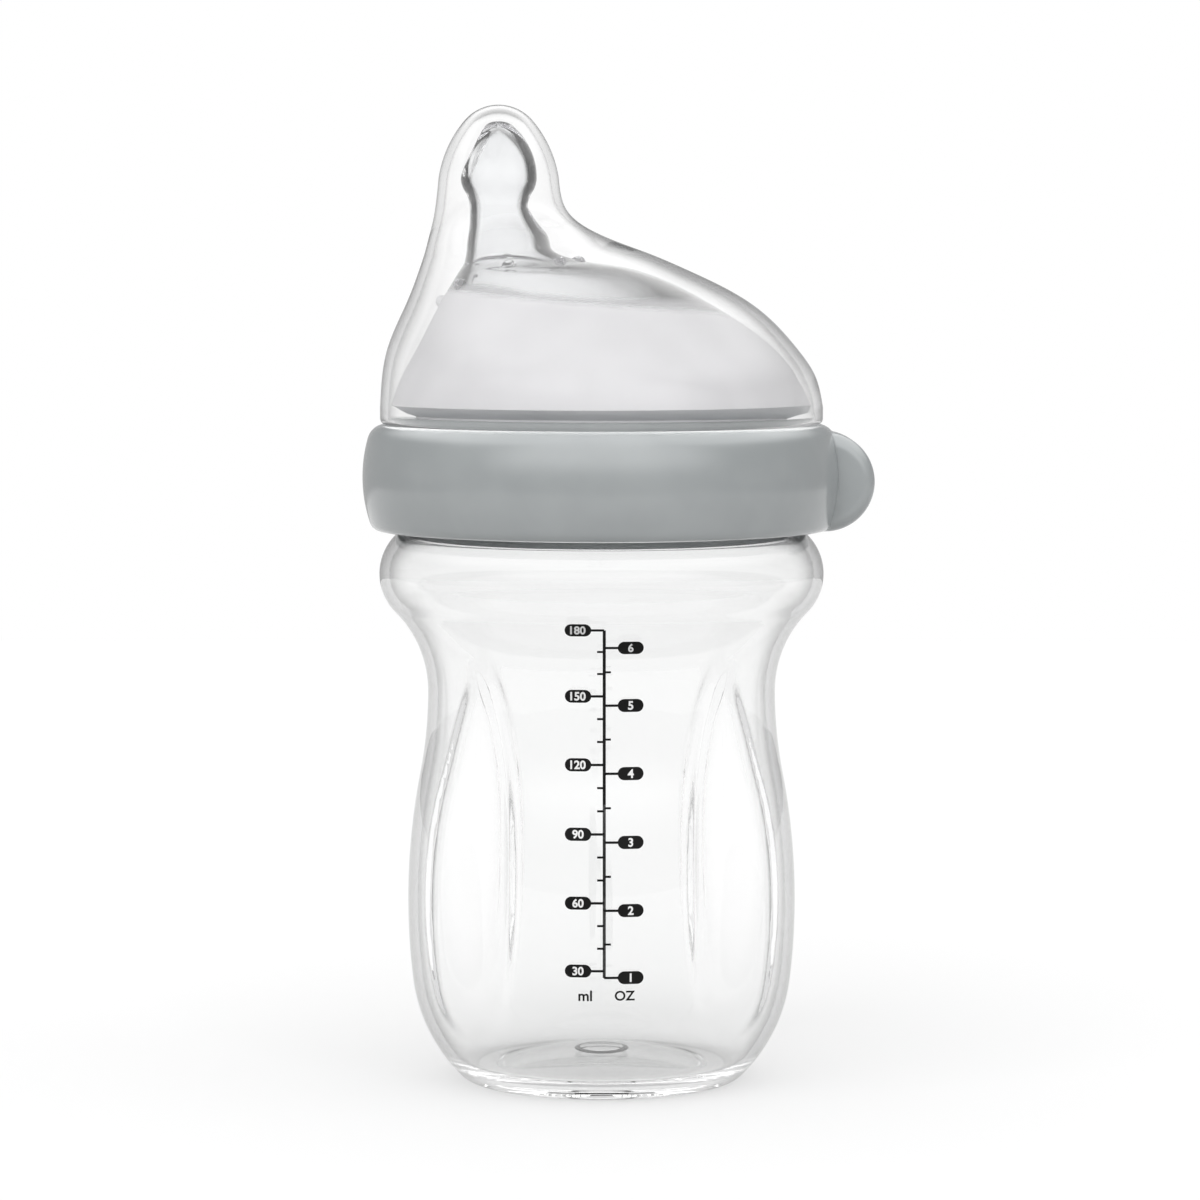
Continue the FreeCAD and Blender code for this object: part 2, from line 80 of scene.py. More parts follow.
def path(corners, step=0.6):
    """An open path through the corners, in steps no longer than step."""
    points = []
    for corner, following in zip(corners, corners[1:]):
        start, end = corner[:2], following[:2]
        points.append(start)
        if len(corner) == 4:
            points += arc_points(start, end, corner[2], corner[3], step)
            continue
        count = max(1, math.ceil(math.dist(start, end) / step))
        points += [tuple(np.add(start, np.subtract(end, start) * i / count)) for i in range(1, count)]
    return points + [corners[-1][:2]]


def swing(step, rise):
    """Two arcs that pass from one upright line to another: radii together, sine, cosine."""
    both = (step**2 + rise**2) / (2 * step)
    return both, rise / both, 1 - step / both


def round_onto(centre_x, centre_y, arc, level, small, side):
    """Rounding between an arc and the level line that cuts it: its points on the line and the arc."""
    small_y = level - side * small
    small_x = centre_x + math.sqrt((arc - small) ** 2 - (small_y - centre_y) ** 2)
    reach = arc / (arc - small)
    on_arc = (centre_x + (small_x - centre_x) * reach, centre_y + (small_y - centre_y) * reach)
    return (small_x, level), on_arc


def two_arc_cap(wide_r, wide_z, top_z, small):
    """A rounded end on a circle: the flank's arc, and where the tip's small arc begins."""
    high = top_z - wide_z - small
    flank = (wide_r**2 + high**2 - small**2) / (2 * (wide_r - small))
    reach = flank / (flank - small)
    return flank, (wide_r - flank + (flank - wide_r) * reach, wide_z + high * reach)


def spline(knots, values, where):
    """A natural cubic spline through values at knots, read at where."""
    knots, values = np.asarray(knots, float), np.asarray(values, float)
    gaps = np.diff(knots)
    system = np.eye(len(knots))
    bends = np.zeros(len(knots))
    for i in range(1, len(knots) - 1):
        system[i, i - 1:i + 2] = gaps[i - 1], 2 * (gaps[i - 1] + gaps[i]), gaps[i]
        slopes = np.diff(values[i - 1:i + 2]) / gaps[i - 1:i + 1]
        bends[i] = 6 * (slopes[1] - slopes[0])
    bends = np.linalg.solve(system, bends)
    spot = np.clip(np.searchsorted(knots, where) - 1, 0, len(gaps) - 1)
    gap, past = gaps[spot], where - knots[spot]
    left = gap - past
    chord = (values[spot] * left + values[spot + 1] * past) / gap
    low = bends[spot] * (left**3 / gap - gap * left)
    high = bends[spot + 1] * (past**3 / gap - gap * past)
    return chord + (low + high) / 6


print("a quarter arc of 5 mm in steps of 1 mm:", len(path([(5, 0, 5, 1), (0, 5)], 1)), "points")

# %% [markdown]
# ## Skins
# A skin is a stack of level rings. Each ring has a centre on the x axis, a height and a radius, or
# is one point where the skin closes. A Screw modifier could turn a section too, but only about one
# axis. These rings may drift sideways, and being plain arrays they let a rule move their points first.

# %% Rings into meshes
def ring(centre_x, z, radius, angles):
    """A level ring of points, one at each angle."""
    return np.column_stack([
        centre_x + radius * np.cos(angles), radius * np.sin(angles), np.full_like(angles, z)])


def skin(name, rings, loop=False):
    """A mesh object of rings in millimetres, each joined to the next. A short ring is a pole."""
    mesh = bpy.data.meshes.new(name)
    starts = np.cumsum([0] + [len(r) for r in rings])
    faces = []
    pairs = list(zip(range(len(rings)), range(1, len(rings)))) + ([(len(rings) - 1, 0)] if loop else [])
    for i, j in pairs:
        a, b = starts[i], starts[j]
        count = max(len(rings[i]), len(rings[j]))
        for k in range(count):
            n = (k + 1) % count
            if len(rings[i]) == 1:
                faces.append((a, b + n, b + k))
            elif len(rings[j]) == 1:
                faces.append((a + k, a + n, b))
            else:
                faces.append((a + k, a + n, b + n, b + k))
    mesh.from_pydata((np.vstack(rings) * MM).tolist(), [], faces)
    return finished(name, mesh)


def finished(name, mesh, sharp=35):
    """An object for a mesh, with normals outwards and smooth shading up to an angle."""
    form = bmesh.new()
    form.from_mesh(mesh)
    bmesh.ops.recalc_face_normals(form, faces=form.faces)
    form.to_mesh(mesh)
    form.free()
    mesh.polygons.foreach_set("use_smooth", [True] * len(mesh.polygons))
    mesh.set_sharp_from_angle(angle=math.radians(sharp))
    piece = bpy.data.objects.new(name, mesh)
    bpy.context.scene.collection.objects.link(piece)
    print(name, len(mesh.vertices), "points")
    return piece


def around(count):
    """Angles of points set evenly round a full turn."""
    return np.arange(count) * 2 * math.pi / count


print("a ring of 8 points starts at", ring(0, 0, 1, around(8))[0])

# %% [markdown]
# ## Clear body
# The body is one clear shell, whose heel, belly, waist and bead are arcs that meet smoothly. Four
# finger grips are dished into it by leaning ellipsoids. Booleans could cut them, but a sharp crease
# draws black lines in clear plastic, so a soft minimum of two radii rounds the edge of each grip.

# %% The body's half section
BELLY_R, BELLY_Z, BELLY_ARC = 32.3, 30.2, 110.0
WAIST_R, WAIST_Z = 28.9, 65.2
BEAD_R, BEAD_Z, BEAD_ARC = 36.9, 84.7, 9.0
HEEL_Z, HEEL_ARC = 17.0, 27.0
FOOT_IN, PUSH_UP = 17.5, 3.0
MARK_R, MARK_DEPTH = 3.9, 0.5
NECK_R, NECK_IN, RIM_Z = 33.5, 31.5, 104.2
WALL, BASE_WALL = 1.6, 2.6


def body_corners(wall, base, foot_round, neck, mark):
    """Corners from the middle of the base to the rim, drawn in by a wall and a base."""
    belly_x = BELLY_R - BELLY_ARC
    lean = (BELLY_Z - HEEL_Z) / BELLY_ARC
    upright = math.sqrt(1 - lean**2)
    heel_x, heel_y = belly_x + (BELLY_ARC - HEEL_ARC) * upright, HEEL_Z + HEEL_ARC * lean
    heel, belly, bead = HEEL_ARC - wall, BELLY_ARC - wall, BEAD_ARC - wall
    on_foot, on_heel = round_onto(heel_x, heel_y, heel, base, foot_round, -1)
    low_arcs, low_sine, low_cosine = swing(BELLY_R - WAIST_R, WAIST_Z - BELLY_Z)
    high_arcs, high_sine, high_cosine = swing(BEAD_R - WAIST_R, BEAD_Z - WAIST_Z)
    bead_x = BEAD_R - BEAD_ARC
    bead_end = BEAD_Z + math.sqrt(bead**2 - (neck - bead_x) ** 2)
    dome = (FOOT_IN**2 + PUSH_UP**2) / (2 * PUSH_UP)
    crown = base + PUSH_UP
    under = [(0, crown, dome, -1)]
    if mark:
        mark_low = crown - dome + math.sqrt(dome**2 - MARK_R**2)
        under = [(0, crown + MARK_DEPTH), (MARK_R, crown + MARK_DEPTH), (MARK_R, mark_low, dome, -1)]
    return under + [
        (FOOT_IN, base),
        (*on_foot, foot_round, 1),
        (*on_heel, heel, 1),
        (heel_x + heel * upright, heel_y - heel * lean, belly, 1),
        (belly_x + belly * low_cosine, BELLY_Z + belly * low_sine, low_arcs - BELLY_ARC + wall, -1),
        (WAIST_R - wall, WAIST_Z, high_arcs - BEAD_ARC + wall, -1),
        (bead_x + bead * high_cosine, BEAD_Z - bead * high_sine, bead, 1),
        (neck, bead_end),
        (neck, RIM_Z),
    ]


OUTSIDE = path(body_corners(0, 0, 4.0, NECK_R, True), step=0.75)
INSIDE = path(body_corners(WALL, BASE_WALL, 6.0, NECK_IN, False), step=1.2)
print("body section:", len(OUTSIDE), "points outside,", len(INSIDE), "inside")

# %% Grips hollowed into a ring
GRIP_TURN, GRIP_LEAN = math.radians(45), math.radians(4.75)
GRIP_OUT, GRIP_Z = 32.3, 29.5
GRIP_HALF = np.array([3.45, 9.75, 39.2])
CREASE, CREASE_LEAST = 2.2, 0.2     # depth of a grip's rounded edge halfway up, and its least share
RIM_SHARE, RIM_BEND = 0.5, 0.4      # where a parabola takes over from the ellipsoid, and how it bends
BODY_AROUND = around(320)


def dish_reach(angles, z, grow):
    """Distance from the axis to the grips' dishes along each direction at one height.

    Near the ellipsoid's rim its steep side is carried on by a parabola, so that the edge can be rounded."""
    turn = (angles - GRIP_TURN + math.pi / 4) % (math.pi / 2) - math.pi / 4
    deep, across, along = GRIP_HALF + grow
    lean_c, lean_s = math.cos(GRIP_LEAN), math.sin(GRIP_LEAN)
    rise = z - GRIP_Z
    u0, u1 = rise * lean_s - GRIP_OUT * lean_c, np.cos(turn) * lean_c
    q0, q1 = rise * lean_c + GRIP_OUT * lean_s, -np.cos(turn) * lean_s
    a = (u1 / deep) ** 2 + (np.sin(turn) / across) ** 2 + (q1 / along) ** 2
    b = u0 * u1 / deep**2 + q0 * q1 / along**2
    c = (u0 / deep) ** 2 + (q0 / along) ** 2 - 1
    inside, half = b * b - a * c, RIM_SHARE / deep
    past = np.maximum(1 - inside / half**2, 0)
    chord = np.where(past > 0, half * (1 - past / 2 - RIM_BEND * past**2), np.sqrt(np.abs(inside)))
    return -(chord + b) / a


def soft_min(a, b, blend):
    """The smaller of a and b, rounded where they come within blend of each other."""
    share = np.clip(0.5 + (b - a) / (2 * blend), 0, 1)
    return b + (a - b) * share - blend * share * (1 - share)


def gripped(radius, z, angles, grow):
    """A ring of the body with the grips hollowed into it."""
    if radius == 0:
        return np.array([[0, 0, z]])
    if radius <= FOOT_IN:
        return ring(0, z, radius, angles)
    blend = CREASE * max(1 - ((z - GRIP_Z) / GRIP_HALF[2]) ** 2, CREASE_LEAST)
    return ring(0, z, soft_min(radius, dish_reach(angles, z, grow), blend), angles)


def dished(radius, points):
    """How deep each point of a ring lies in a grip, from 0 on the wall to 1 in the dish."""
    return np.clip((radius - np.linalg.norm(points[:, :2], axis=1)) / CREASE, 0, 1)


sections = [(r, z, 0) for r, z in OUTSIDE] + [(r, z, WALL) for r, z in INSIDE[::-1]]
rings = [gripped(r, z, BODY_AROUND, grow) for r, z, grow in sections]
body = skin("clear_body", rings)
# the share of each point in a grip also drives painted light: the clear finish tints the grips lighter
depth = np.concatenate([dished(r, points) for (r, z, grow), points in zip(sections, rings)])
body.data.attributes.new("grip", "FLOAT", "POINT").data.foreach_set("value", depth)
print("share of the skin in the grips:", round(float(depth.mean()), 3))

# %% [markdown]
# ## Teat piece
# The soft piece is clamped by its flange. Its lower part is turned, its dome is a stack of circles
# whose centres drift towards -X, and its teat is turned about its own axis. It could be sculpted, but
# one spline through a few named levels gives the circles between them without lumps.

# %% Levels of the dome
LIP_LOW, DOME_LOW = 106.7, 111.2     # the groove that the collar's lip sits in
FLANGE_R, GROOVE_R, HOLLOW_R = 34.8, 30.7, 28.3
EDGE_Z, EDGE_R = 112.8, 34.8
TEAT_X, NECKIN_Z, BULB_Z, TIP_Z = -17.0, 145.1, 150.3, 159.4
NECKIN_R, BULB_R, BULB_ARC, TIP_ROUND = 4.8, 6.3, 4.6, 3.6
FEED_R, TEAT_WALL, TIP_WALL = 0.4, 1.6, 2.0
DOME_WALL = (1.5, 1.6)     # across and up
LEVELS = [  # height above the dome's edge, centre, radius
    (4.6, -0.3, 32.8), (8.7, -0.9, 30.0), (15.8, -3.9, 23.1),
    (22.1, -9.5, 13.5), (24.8, -14.5, 7.7), (28.2, -16.0, 5.8)]


def stacked(sections, step):
    """Circles (centre, height, radius) along a smooth stack of given circles, about step apart."""
    spots = np.array(sections, float)
    edges = np.column_stack([spots[:, 0] - spots[:, 2], spots[:, 0] + spots[:, 2], spots[:, 1]])
    lengths = np.linalg.norm(np.diff(edges, axis=0), axis=1)
    knots = np.concatenate([[0], np.cumsum(lengths)])
    where = np.linspace(0, knots[-1], math.ceil(knots[-1] / step) + 1)
    return list(zip(*(spline(knots, spots[:, i], where) for i in range(3))))


def teat_path(wall, tip_wall, step):
    """Half section of the teat about its own axis, from its narrowest part to the feed hole."""
    arcs, sine, cosine = swing(BULB_R - NECKIN_R, BULB_Z - NECKIN_Z)
    bulb, small, top = BULB_ARC - wall, TIP_ROUND - wall, TIP_Z - tip_wall
    flank, tip_start = two_arc_cap(BULB_R - wall, BULB_Z, top, small)
    return path([
        (NECKIN_R - wall, NECKIN_Z, arcs - BULB_ARC + wall, -1),
        (BULB_R - BULB_ARC + bulb * cosine, BULB_Z - bulb * sine, bulb, 1),
        (BULB_R - wall, BULB_Z, flank, 1),
        (*tip_start, small, 1),
        (FEED_R, top - small + math.sqrt(small**2 - FEED_R**2))], step)


dome = stacked([(0, EDGE_Z, EDGE_R)] + [(x, EDGE_Z + up, r) for up, x, r in LEVELS]
               + [(TEAT_X, NECKIN_Z, NECKIN_R)], step=0.4)
hollow = stacked([(0, EDGE_Z, HOLLOW_R)]
                 + [(x, EDGE_Z + up - DOME_WALL[1], r - DOME_WALL[0]) for up, x, r in LEVELS[1:]]
                 + [(TEAT_X, NECKIN_Z, NECKIN_R - TEAT_WALL)], step=0.8)
print("dome:", len(dome), "circles outside,", len(hollow), "inside")

# %% Bumps and the slanted flat
BUMP_X, BUMP_RING, BUMP_R, BUMPS = -15.0, 11.4, 1.0, 8
FLAT_LOW, FLAT_TOP, FLAT_SOFT = (-BULB_R, BULB_Z), (-1.3, TIP_Z + 1), 0.3
EDGE_IN, EDGE_DOWN = 0.25, 0.12     # where the rounding of the dome's edge begins
TEAT_AROUND = around(224)


def raise_bumps(stack):
    """Push the dome's points out onto small balls set on it round the foot of the teat."""
    points = np.array(stack)
    along = np.roll(points, -1, axis=1) - np.roll(points, 1, axis=1)
    up = np.gradient(points, axis=0)
    normal = np.cross(along, up)
    normal /= np.linalg.norm(normal, axis=2, keepdims=True)
    for angle in around(BUMPS):
        spot = np.array([BUMP_X + BUMP_RING * math.cos(angle), BUMP_RING * math.sin(angle)])
        near = np.unravel_index(np.argmin(np.linalg.norm(points[:, :, :2] - spot, axis=2)), points.shape[:2])
        gap = points - points[near]
        inside = BUMP_R**2 - np.sum(gap**2, axis=2)
        lift = np.sum(gap * normal, axis=2)
        move = np.where(inside > 0, np.sqrt(np.maximum(lift**2 + inside, 0)) - lift, 0)
        points = points + normal * move[:, :, None]
    return list(points)


def flattened(points):
    """Points of the tip moved back to the slanted flat on its outer side."""
    height = (points[:, 2] - FLAT_LOW[1]) / (FLAT_TOP[1] - FLAT_LOW[1])
    plane = TEAT_X + FLAT_LOW[0] + height * (FLAT_TOP[0] - FLAT_LOW[0])
    points[:, 0] = -soft_min(-points[:, 0], -plane, FLAT_SOFT)
    return points


base = path([(HOLLOW_R, RIM_Z), (FLANGE_R, RIM_Z), (FLANGE_R, LIP_LOW), (GROOVE_R, LIP_LOW),
             (GROOVE_R, DOME_LOW), (EDGE_R - EDGE_IN, EDGE_Z - EDGE_DOWN)], step=3)
rings = [ring(0, z, r, TEAT_AROUND) for r, z in base]
rings += raise_bumps([ring(x, z, r, TEAT_AROUND) for x, z, r in dome])
rings += [flattened(ring(TEAT_X, z, r, TEAT_AROUND)) for r, z in teat_path(0, 0, 0.35)[1:]]
rings += [ring(TEAT_X, z, r, TEAT_AROUND) for r, z in teat_path(TEAT_WALL, TIP_WALL, 0.6)[::-1]]
rings += [ring(x, z, r, TEAT_AROUND) for x, z, r in hollow[-2::-1]]
nipple = skin("teat_piece", rings, loop=True)

# %% [markdown]
# ## Hood
# The clear hood keeps the teat clean. It keeps a gap from the teat piece at each level and leans a
# little, so it is the same stack of circles with other radii. Solidify could thicken one skin, but
# the real wall isn't even where the slope is shallow, so each side has its own stack.

# %% Outer and inner stacks
COLLAR_TOP = 109.5
HOOD_R, HOOD_WALL, HOOD_DROP, HOOD_LIP, BELT = 36.7, 1.3, 0.8, 0.9, COLLAR_TOP + 2.8
END_SIDE, END_OVER, END_ROUND, END_BELOW = 2.55, 1.5, 7.4, 3.0     # gaps round the tip, and its widest level
GAPS = [(1.8, -0.15), (2.9, -0.5), (4.9, 0.5), (7.5, 1.6), (9.7, 3.9), (6.8, 1.5)]     # gap and lean
NECKIN_GAP, NECKIN_LEAN = 4.7, 0.3
HOOD_AROUND = around(256)


def hood_tip(wall):
    """Half section of the rounded end about the teat's axis, from the bulb's level to the top."""
    wide, small = BULB_R + END_SIDE + HOOD_WALL - wall, END_ROUND - wall
    top = TIP_Z + END_OVER + HOOD_WALL - wall
    flank, start = two_arc_cap(wide, BULB_Z - END_BELOW, top, small)
    at_bulb = wide - flank + math.sqrt(flank**2 - END_BELOW**2)
    return path([(at_bulb, BULB_Z, flank, 1), (*start, small, 1), (0, top)], step=0.5)


def hood_rings(wall, drop):
    """Rings of one side of the hood from its belt to its top, drawn in by a wall and a drop."""
    out = HOOD_WALL - wall
    tip = hood_tip(wall)
    stack = [(0, BELT - drop, HOOD_R - wall)]
    stack += [(x + lean, EDGE_Z + up - drop, r + gap + out) for (up, x, r), (gap, lean) in zip(LEVELS, GAPS)]
    stack += [(TEAT_X + NECKIN_LEAN, NECKIN_Z, NECKIN_R + NECKIN_GAP + out), (TEAT_X, BULB_Z, tip[0][0])]
    circles = stacked(stack, step=0.7) + [(TEAT_X, z, r) for r, z in tip[1:]]
    return [ring(x, z, r, HOOD_AROUND) if r > 0 else np.array([[x, 0, z]]) for x, z, r in circles]


lip = path([(HOOD_R - HOOD_WALL, COLLAR_TOP), (HOOD_R - HOOD_LIP, COLLAR_TOP, HOOD_LIP, 1),
            (HOOD_R, COLLAR_TOP + HOOD_LIP), (HOOD_R, BELT)], step=0.5)[:-1]
rings = hood_rings(HOOD_WALL, HOOD_DROP)[::-1]
rings += [ring(0, z, r, HOOD_AROUND) for r, z in lip] + hood_rings(0, 0)
hood = skin("clear_hood", rings)

# %% [markdown]
# ## Collar
# The collar is one opaque moulding: a barrel with a plain bore, and a thumb lobe, which is a rounded
# disc set into it with its axis along Y. The lobe could be blended in ring by ring, but on the real
# one it meets the barrel at a crisp corner, so an exact union of two closed skins is right here.

# %% Barrel and lobe
COLLAR_R, COLLAR_LOW, BARREL_ARC, LOW_ROUND, TOP_ROUND = 39.65, 92.0, 24.0, 1.6, 3.0
SPIGOT_R, SPIGOT_TOP, LIP_R, BORE_R = 35.1, 110.9, 31.0, 35.2
LOBE_X, LOBE_Z, LOBE_R, LOBE_WIDE, LOBE_ROUND = 36.9, COLLAR_LOW + 8.1, 8.2, 14.0, 2.2
COLLAR_AROUND, LOBE_AROUND = around(256), around(128)
middle = (COLLAR_TOP + COLLAR_LOW) / 2
low_line, low_arc = round_onto(COLLAR_R - BARREL_ARC, middle, BARREL_ARC, COLLAR_LOW, LOW_ROUND, -1)
top_line, top_arc = round_onto(COLLAR_R - BARREL_ARC, middle, BARREL_ARC, COLLAR_TOP, TOP_ROUND, 1)
barrel = path([
    (BORE_R, COLLAR_LOW), (*low_line, LOW_ROUND, 1), (*low_arc, BARREL_ARC, 1), (*top_arc, TOP_ROUND, 1),
    top_line, (SPIGOT_R, COLLAR_TOP), (SPIGOT_R, SPIGOT_TOP), (LIP_R, SPIGOT_TOP), (LIP_R, LIP_LOW),
    (BORE_R, LIP_LOW)], step=0.7)
collar = skin("grey_collar", [ring(0, z, r, COLLAR_AROUND) for r, z in barrel], loop=True)
side = LOBE_WIDE / 2
disc = path([(0, -side), (LOBE_R - LOBE_ROUND, -side, LOBE_ROUND, 1), (LOBE_R, LOBE_ROUND - side),
             (LOBE_R, side - LOBE_ROUND, LOBE_ROUND, 1), (LOBE_R - LOBE_ROUND, side), (0, side)], step=0.4)
across, up = np.cos(LOBE_AROUND), np.sin(LOBE_AROUND)
rings = [np.column_stack([LOBE_X + r * across, np.full_like(across, y), LOBE_Z + r * up])
         if r > 0 else np.array([[LOBE_X, y, LOBE_Z]]) for r, y in disc]
lobe = skin("lobe", rings)
under = COLLAR_LOW - 9     # the plug that clears the lobe out of the bore starts well below it
plug = path([(0, under), (BORE_R, under), (BORE_R, LIP_LOW), (0, LIP_LOW)], step=9)
bore = skin("bore", [ring(0, z, r, COLLAR_AROUND) if r > 0 else np.array([[0, 0, z]]) for r, z in plug])


def applied(piece, name):
    """The piece's evaluated mesh in a new object, and the old one gone."""
    bpy.context.view_layer.update()
    seen = piece.evaluated_get(bpy.context.evaluated_depsgraph_get())
    mesh = bpy.data.meshes.new_from_object(seen)
    bpy.data.objects.remove(piece)
    return finished(name, mesh)


def joined(piece, other, operation):
    """An exact boolean of two closed skins."""
    change = piece.modifiers.new("join", "BOOLEAN")
    change.operation = operation
    change.solver = "EXACT"
    change.object = other
    result = applied(piece, piece.name)
    bpy.data.objects.remove(other)
    return result


lobe = joined(lobe, bore, "DIFFERENCE")
collar = joined(collar, lobe, "UNION")
collar.name = "grey_collar"

# %% [markdown]
# ## Wires for shader sums
# A finish is a rule for how colour or gloss changes over a piece. Nodes could be added and linked one
# by one, but then the rule is lost among the links. `Wire` wraps a socket, so that a rule reads as a
# sum, and `node` adds any other node and hands back one of its outputs.

# %% A socket that does sums
class Wire:
    """One output of a shader tree, with operators that add Math nodes."""

    def __init__(self, tree, socket):
        self.tree = tree
        self.socket = socket

    def sum(self, operation, *others):
        return self.node("ShaderNodeMath", {"operation": operation}, None, self, *others)

    def __add__(self, other):
        return self.sum("ADD", other)

    def __sub__(self, other):
        return self.sum("SUBTRACT", other)

    def __mul__(self, other):
        return self.sum("MULTIPLY", other)

    def __radd__(self, other):
        return self + other

    def __rmul__(self, other):
        return self * other

    def __rsub__(self, other):
        return self * -1 + other

    def ramp(self, low, high):
        """0 below low, 1 above high, and a smooth step between them."""
        words = {"interpolation_type": "SMOOTHSTEP"}
        return self.node("ShaderNodeMapRange", words, None, self, low, high)

    def node(self, kind, words=None, output=None, *inputs, **named):
        """Any node: words are its settings, inputs fill its sockets in order or by name."""
        made = self.tree.nodes.new(kind)
        for word, value in (words or {}).items():
            setattr(made, word, value)
        for place, value in list(enumerate(inputs)) + [(k.replace("_", " "), v) for k, v in named.items()]:
            if isinstance(value, Wire):
                self.tree.links.new(value.socket, made.inputs[place])
            else:
                made.inputs[place].default_value = value
        return Wire(self.tree, made.outputs[output or 0])


print("reflected forms:", [word for word in vars(Wire) if word.startswith("__r")])

# %% What every finish starts from
def blank_material(name):
    """A material with an empty tree, a wire to start from and one for the piece's own coordinates."""
    material = bpy.data.materials.new(name)
    material.use_nodes = True
    tree = material.node_tree
    tree.nodes.clear()
    start = Wire(tree, None)
    place = start.node("ShaderNodeTexCoord", None, "Object")
    return material, start, place


def wear(place, scale, detail=3.0):
    """Soft noise from 0 to 1, for clouds, grain and handling."""
    return place.node("ShaderNodeTexNoise", None, "Fac", Vector=place, Scale=scale, Detail=detail)


def surface(material, shader):
    """Hand a shader to the material's output."""
    tree = material.node_tree
    out = tree.nodes.new("ShaderNodeOutputMaterial")
    tree.links.new(shader.socket, out.inputs["Surface"])
    print(material.name, len(tree.nodes), "nodes")


# %% What clear stuff shares
MOST_TURNS = 12           # light that is caught inside a wall leaves it after so many turns
TURNED_SHADE = (0.09, 0.17)     # facing at which the painted shade on light that a wall turned back begins, and where it is full


def let_light_out(start, shader):
    """Lamp light passes clear plastic, and so does light that has been caught inside a wall."""
    shadow = start.node("ShaderNodeLightPath", None, "Is Shadow Ray")
    turns = Wire(start.tree, shadow.socket.node.outputs["Ray Depth"])
    free = shadow.sum("MAXIMUM", turns.sum("GREATER_THAN", MOST_TURNS + 0.5))
    through = start.node("ShaderNodeBsdfTransparent", None, None, (1, 1, 1, 1))
    return start.node("ShaderNodeMixShader", None, None, free, shader, through)


def blend_of(start, share, low, high):
    """A colour between low and high. Low may be a wire."""
    mix = start.node("ShaderNodeMix", {"data_type": "RGBA"}, 2, share)
    if isinstance(low, Wire):
        start.tree.links.new(low.socket, mix.socket.node.inputs[6])
    else:
        mix.socket.node.inputs[6].default_value = low
    mix.socket.node.inputs[7].default_value = high
    return mix


def painted_rim_shade(start, tone, dark, begin, kept):
    """A clear tone with painted shade: it turns dark where the surface is met edge on.

    Begin is the facing at which that starts. Where a wall turns light back inside itself, the tone is
    painted grey too, as painted shade for a dark side of the room, and kept, squared, is that grey."""
    facing = start.node("ShaderNodeLayerWeight", None, "Facing", 0.5)
    # painted shade: the tone darkens towards the rims, where the surface is met edge on
    tone = blend_of(start, facing.ramp(begin, 1.0), tone, dark)
    inside = start.node("ShaderNodeNewGeometry", None, "Backfacing")
    # painted shade: light that a wall turns back inside itself is painted grey
    turned = start.node("ShaderNodeLightPath", None, "Is Reflection Ray") * inside * facing.ramp(*TURNED_SHADE)
    return blend_of(start, turned, tone, (kept**2, kept**2, kept**2, 1))


# %% [markdown]
# ## Finishes
# Clear plastic is polished, with a slow ripple left by the mould and a faint haze of handling. Its
# edges are drawn with painted shade: the tone is darkened at the rims, and where a wall turns light
# back inside itself, in place of the dark room that real plastic bends into view. Silicone is clear
# on the teat, with the same painted shade at its rims, and blasted matt below a sloping line, so two
# shaders are mixed along that line. The collar is a cool grey with a fine moulded grain.

# %% Clear plastic
WHITE = (1, 1, 1, 1)
PLASTIC_IOR = 1.5
RIPPLE_SCALE, RIPPLE_DEEP = 45.0, 0.0006
HAZE_SCALE, HAZE, POLISH = 260.0, 0.01, 0.004     # roughness of the polish, and what handling adds
# painted shade: the near-black tone of the ring drawn at the moulding mark's step
MARK_SHADE = (0.03, 0.03, 0.03, 1)
EDGE_HALF = (0.0003, 0.0006)     # the mark's painted ring of shade is whole up to here from the step, and gone from here on
UNDER_BASE = (0.0045, 0.005)     # heights between which the underside of the base ends


def clear_plastic(name, wall, dish, dark, begin, kept, ripple, mark_r=0.0):
    """Polished plastic with a slow ripple, tinted a touch lighter in the grips as painted light.

    The step round the moulding mark under the base gets a near-black matt ring, painted shade that draws it
    as a dark line."""
    material, start, place = blank_material(name)
    bump = start.node("ShaderNodeBump", None, None, Strength=ripple, Distance=RIPPLE_DEEP,
                      Height=wear(place, RIPPLE_SCALE, detail=1.0))
    rough = wear(place, HAZE_SCALE).ramp(0.45, 0.8) * HAZE + POLISH
    # painted light: the tone is lighter in the grips than on the rest of the wall
    grip = start.node("ShaderNodeAttribute", {"attribute_name": "grip"}, "Fac")
    tone = painted_rim_shade(start, blend_of(start, grip, wall, dish), dark, begin, kept)
    glass = start.node("ShaderNodeBsdfPrincipled", None, None, Base_Color=tone,
                       Roughness=rough, IOR=PLASTIC_IOR, Transmission_Weight=1.0, Normal=bump)
    if mark_r:
        apart = start.node("ShaderNodeSeparateXYZ", None, None, place)
        x, y, z = (Wire(start.tree, socket) for socket in apart.socket.node.outputs)
        off = ((x * x + y * y).sum("SQRT") - mark_r * MM).sum("ABSOLUTE")
        # painted shade: a near-black matt ring along the step round the moulding mark
        edge = (1 - off.ramp(*EDGE_HALF)) * (1 - z.ramp(*UNDER_BASE))
        painted_edge_shade = start.node("ShaderNodeBsdfDiffuse", None, None, MARK_SHADE)
        glass = start.node("ShaderNodeMixShader", None, None, edge, glass, painted_edge_shade)
    surface(material, let_light_out(start, glass))
    return material


# painted light: the body is tinted white in the grips against the wall's grey, and painted shade makes it
# near black at the rims
BODY_CLEAR = clear_plastic("clear body plastic", (0.965, 0.967, 0.966, 1), WHITE, (0.02, 0.021, 0.021, 1),
                           begin=0.55, kept=0.75, ripple=0.02, mark_r=MARK_R)
# painted shade: the hood's tone turns dark at its rims
HOOD_CLEAR = clear_plastic("clear hood plastic", WHITE, WHITE, (0.03, 0.032, 0.036, 1),
                           begin=0.65, kept=0.85, ripple=0.03)

# %% Silicone, frosted below a sloping line
FROST_X, FROST_Z, FROST_FALL = -0.0258, 0.1315, 0.0865     # a point on the line, and its fall towards +X
FROST_SOFT, FROST_WANDER = (-0.0004, 0.0009), 0.0012
SILICONE_IOR = 1.41


